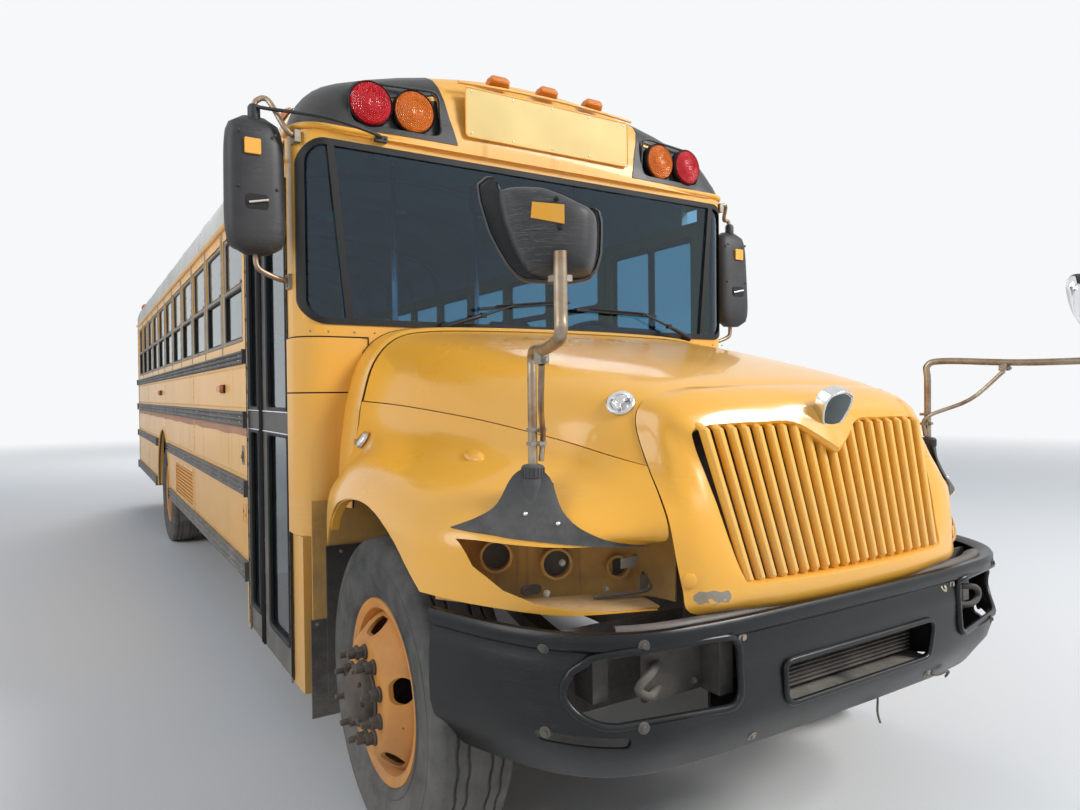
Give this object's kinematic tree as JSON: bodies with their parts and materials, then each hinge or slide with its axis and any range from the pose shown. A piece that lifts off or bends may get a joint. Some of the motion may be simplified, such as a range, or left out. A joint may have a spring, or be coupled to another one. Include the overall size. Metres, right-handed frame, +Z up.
{
  "type": "school bus",
  "caption": "Conventional school bus with a tilting hood, folding entrance door, rub rails, cross-view mirrors and a high vaulted roof.",
  "frame": {"origin": "on the ground under the middle of the bus's box", "axes": "+X to the bus's left (driver's) side, +Y to its rear, +Z up"},
  "size_m": [2.966, 11.15, 3.1234],
  "materials": {
    "bus_yellow": "gloss, faded",
    "roof_white": "satin",
    "frame_black": "dull, dusty",
    "engine_grey": "matte",
    "tank_steel": "dull",
    "bumper_black": "gloss, worn",
    "rail_black": "satin",
    "floor_rubber": "matte",
    "seal_rubber": "matte",
    "sash_paint": "satin",
    "clear_glass": "clear, tinted",
    "lens_red": "gloss",
    "lens_amber": "gloss",
    "lens_clear": "gloss",
    "seat_vinyl": "satin",
    "dash_plastic": "matte",
    "mirror_black": "satin",
    "hatch_plastic": "matte",
    "sign_red": "gloss",
    "tire_rubber": "worn",
    "wheel_paint": "rusty"
  },
  "bodies": {
    "bus_body": {"chassis_frame": "frame_black", "engine": "engine_grey", "front_axle": "frame_black", "rear_axle": "frame_black", "leaf_springs": "frame_black", "driveshaft": "frame_black", "fuel_tank": "tank_steel", "exhaust": "tank_steel", "front_bumper": "bumper_black", "rear_bumper": "bumper_black", "floor": "floor_rubber", "floor_beams": "frame_black", "side_wall_right": "bus_yellow", "side_wall_left": "bus_yellow", "roof": "roof_white", "front_cap": "bus_yellow", "rear_wall": "bus_yellow", "cowl": "bus_yellow", "windshield_frame": "bus_yellow", "windshield_gasket": "seal_rubber", "windshield": "clear_glass", "window_frames": "sash_paint", "window_glass": "clear_glass", "rear_glass": "clear_glass", "rub_rails": "rail_black", "lamps_red": "lens_red", "lamps_amber": "lens_amber", "sign_panels": "bus_yellow", "mudflaps": "seal_rubber", "seats": "seat_vinyl", "dashboard": "dash_plastic", "road_mirrors": "mirror_black"},
    "hood": {"hood_shell": "bus_yellow", "grille": "bus_yellow", "headlamp_pods": "bus_yellow", "headlamp": "lens_clear", "fender_mirrors": "mirror_black"},
    "door_front": {"door_leaf_front": "rail_black", "door_glass_front": "clear_glass"},
    "door_rear": {"door_leaf_rear": "rail_black", "door_glass_rear": "clear_glass"},
    "exit_door": {"emergency_door": "bus_yellow", "emergency_glass": "clear_glass"},
    "hatch_front": {"roof_hatch_front": "hatch_plastic"},
    "hatch_rear": {"roof_hatch_rear": "hatch_plastic"},
    "stop_arm": {"stop_arm": "sign_red"},
    "steer_left": {"knuckle_left": "frame_black"},
    "steer_right": {"knuckle_right": "frame_black"},
    "front_wheel_left": {"tire_front_left": "tire_rubber", "wheel_front_left": "wheel_paint"},
    "front_wheel_right": {"tire_front_right": "tire_rubber", "wheel_front_right": "wheel_paint"},
    "rear_wheel_left": {"tire_rear_left": "tire_rubber", "wheel_rear_left": "wheel_paint"},
    "rear_wheel_right": {"tire_rear_right": "tire_rubber", "wheel_rear_right": "wheel_paint"}
  },
  "joints": [
    {"name": "hood_tilt", "type": "hinge", "parent": "bus_body", "child": "hood", "pos_m": [0, -5.31, 0.9], "axis": [1, 0, 0], "range_deg": [0, 80]},
    {"name": "door_front_swing", "type": "hinge", "parent": "bus_body", "child": "door_front", "pos_m": [-1.218, -3.447, 1.36], "axis": [0, 0, 1], "range_deg": [0, 85]},
    {"name": "door_rear_swing", "type": "hinge", "parent": "bus_body", "child": "door_rear", "pos_m": [-1.218, -2.553, 1.36], "axis": [0, 0, 1], "range_deg": [-85, 0]},
    {"name": "exit_door_swing", "type": "hinge", "parent": "bus_body", "child": "exit_door", "pos_m": [-0.348, 5.51, 1.76], "axis": [0, 0, 1], "range_deg": [0, 110]},
    {"name": "hatch_front_lift", "type": "hinge", "parent": "bus_body", "child": "hatch_front", "pos_m": [0, -1.059, 3.093], "axis": [1, 0, 0], "range_deg": [0, 60]},
    {"name": "hatch_rear_lift", "type": "hinge", "parent": "bus_body", "child": "hatch_rear", "pos_m": [0, 2.641, 3.093], "axis": [1, 0, 0], "range_deg": [0, 60]},
    {"name": "stop_arm_swing", "type": "hinge", "parent": "bus_body", "child": "stop_arm", "pos_m": [1.272, -2.49, 1.565], "axis": [0, 0, -1], "range_deg": [0, 90]},
    {"name": "steer_left_turn", "type": "hinge", "parent": "bus_body", "child": "steer_left", "pos_m": [0.86, -4.33, 0.515], "axis": [0, 0, 1], "range_deg": [-40, 40]},
    {"name": "steer_right_turn", "type": "hinge", "parent": "bus_body", "child": "steer_right", "pos_m": [-0.86, -4.33, 0.515], "axis": [0, 0, 1], "range_deg": [-40, 40]},
    {"name": "front_wheel_left_spin", "type": "hinge", "parent": "steer_left", "child": "front_wheel_left", "pos_m": [1.02, -4.33, 0.515], "axis": [1, 0, 0], "continuous": true},
    {"name": "front_wheel_right_spin", "type": "hinge", "parent": "steer_right", "child": "front_wheel_right", "pos_m": [-1.02, -4.33, 0.515], "axis": [1, 0, 0], "continuous": true},
    {"name": "rear_wheel_left_spin", "type": "hinge", "parent": "bus_body", "child": "rear_wheel_left", "pos_m": [0.885, 2.02, 0.515], "axis": [1, 0, 0], "continuous": true},
    {"name": "rear_wheel_right_spin", "type": "hinge", "parent": "bus_body", "child": "rear_wheel_right", "pos_m": [-0.885, 2.02, 0.515], "axis": [1, 0, 0], "continuous": true}
  ],
  "couplings": [
    {"joint": "door_rear_swing", "follows": "door_front_swing", "ratio": -1},
    {"joint": "steer_right_turn", "follows": "steer_left_turn", "ratio": 1}
  ]
}
